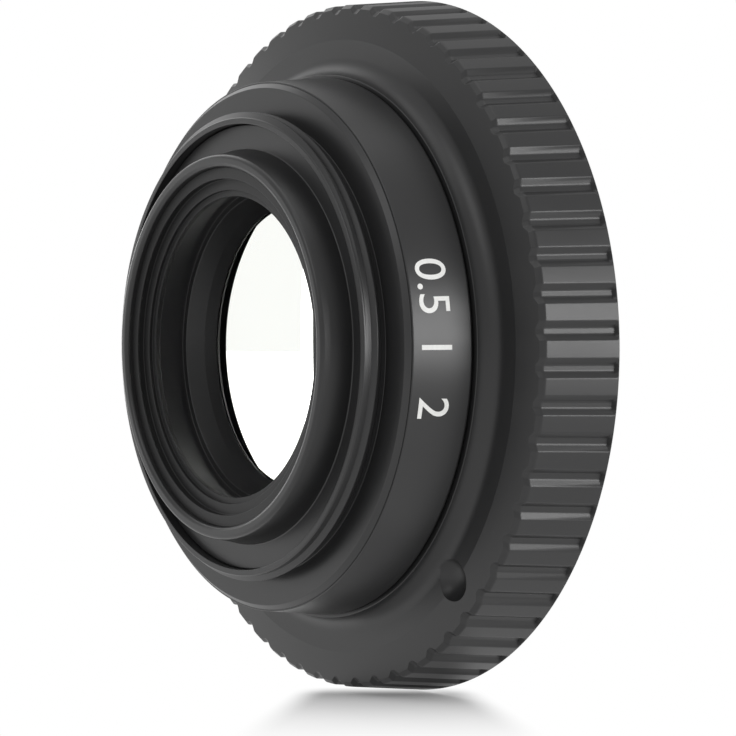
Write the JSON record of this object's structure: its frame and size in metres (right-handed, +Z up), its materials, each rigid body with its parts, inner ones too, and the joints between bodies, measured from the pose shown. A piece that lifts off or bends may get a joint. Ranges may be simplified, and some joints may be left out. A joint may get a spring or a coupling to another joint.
{
  "type": "fisheye lens",
  "caption": "Screw-on fisheye lens with a male filter thread, a smooth barrel, a knurled focus ring and a domed front glass that moves out as the ring turns.",
  "frame": {"origin": "on the optical axis, in the plane of the seat that meets the camera's front", "axes": "+Y along the optical axis towards the domed front glass, +Z up as the lens stands on its knurled rim, +X to the side that the picture shows"},
  "size_m": [0.056, 0.0242, 0.056],
  "materials": {
    "barrel_black": "satin black anodised",
    "grip_black": "satin black anodised, knurled",
    "inner_black": "matt black anodised",
    "coated_glass": "polished, coated",
    "pin_steel": "ground",
    "glide_plastic": "matt",
    "seal_rubber": "matt"
  },
  "bodies": {
    "lens_body": {"mount_ring": "barrel_black", "spacing_shim": "pin_steel", "rear_cell": "barrel_black", "rear_baffle": "inner_black", "doublet_crown": "coated_glass", "doublet_flint": "coated_glass", "doublet_retainer": "inner_black", "barrel": "barrel_black", "guide_pins": "pin_steel", "turn_stop_pin": "pin_steel", "glide_washer": "glide_plastic", "grip_retainer": "inner_black"},
    "focus_ring": {"grip_ring": "grip_black", "helicoid_nut": "inner_black"},
    "front_group": {"front_cell": "inner_black", "light_stop": "inner_black", "second_element": "coated_glass", "second_retainer": "inner_black", "front_element": "coated_glass", "front_seal": "seal_rubber", "front_retainer": "barrel_black"}
  },
  "joints": [
    {"name": "focus_turn", "type": "hinge", "parent": "lens_body", "child": "focus_ring", "pos_m": [0, 0, 0], "axis": [0, -1, 0], "range_deg": [0, 90]},
    {"name": "focus_slide", "type": "slide", "parent": "lens_body", "child": "front_group", "axis": [0, 1, 0], "range_m": [0, 0.001]}
  ],
  "couplings": [
    {"joint": "focus_slide", "follows": "focus_turn", "m_per_rad": 0.00063661}
  ]
}
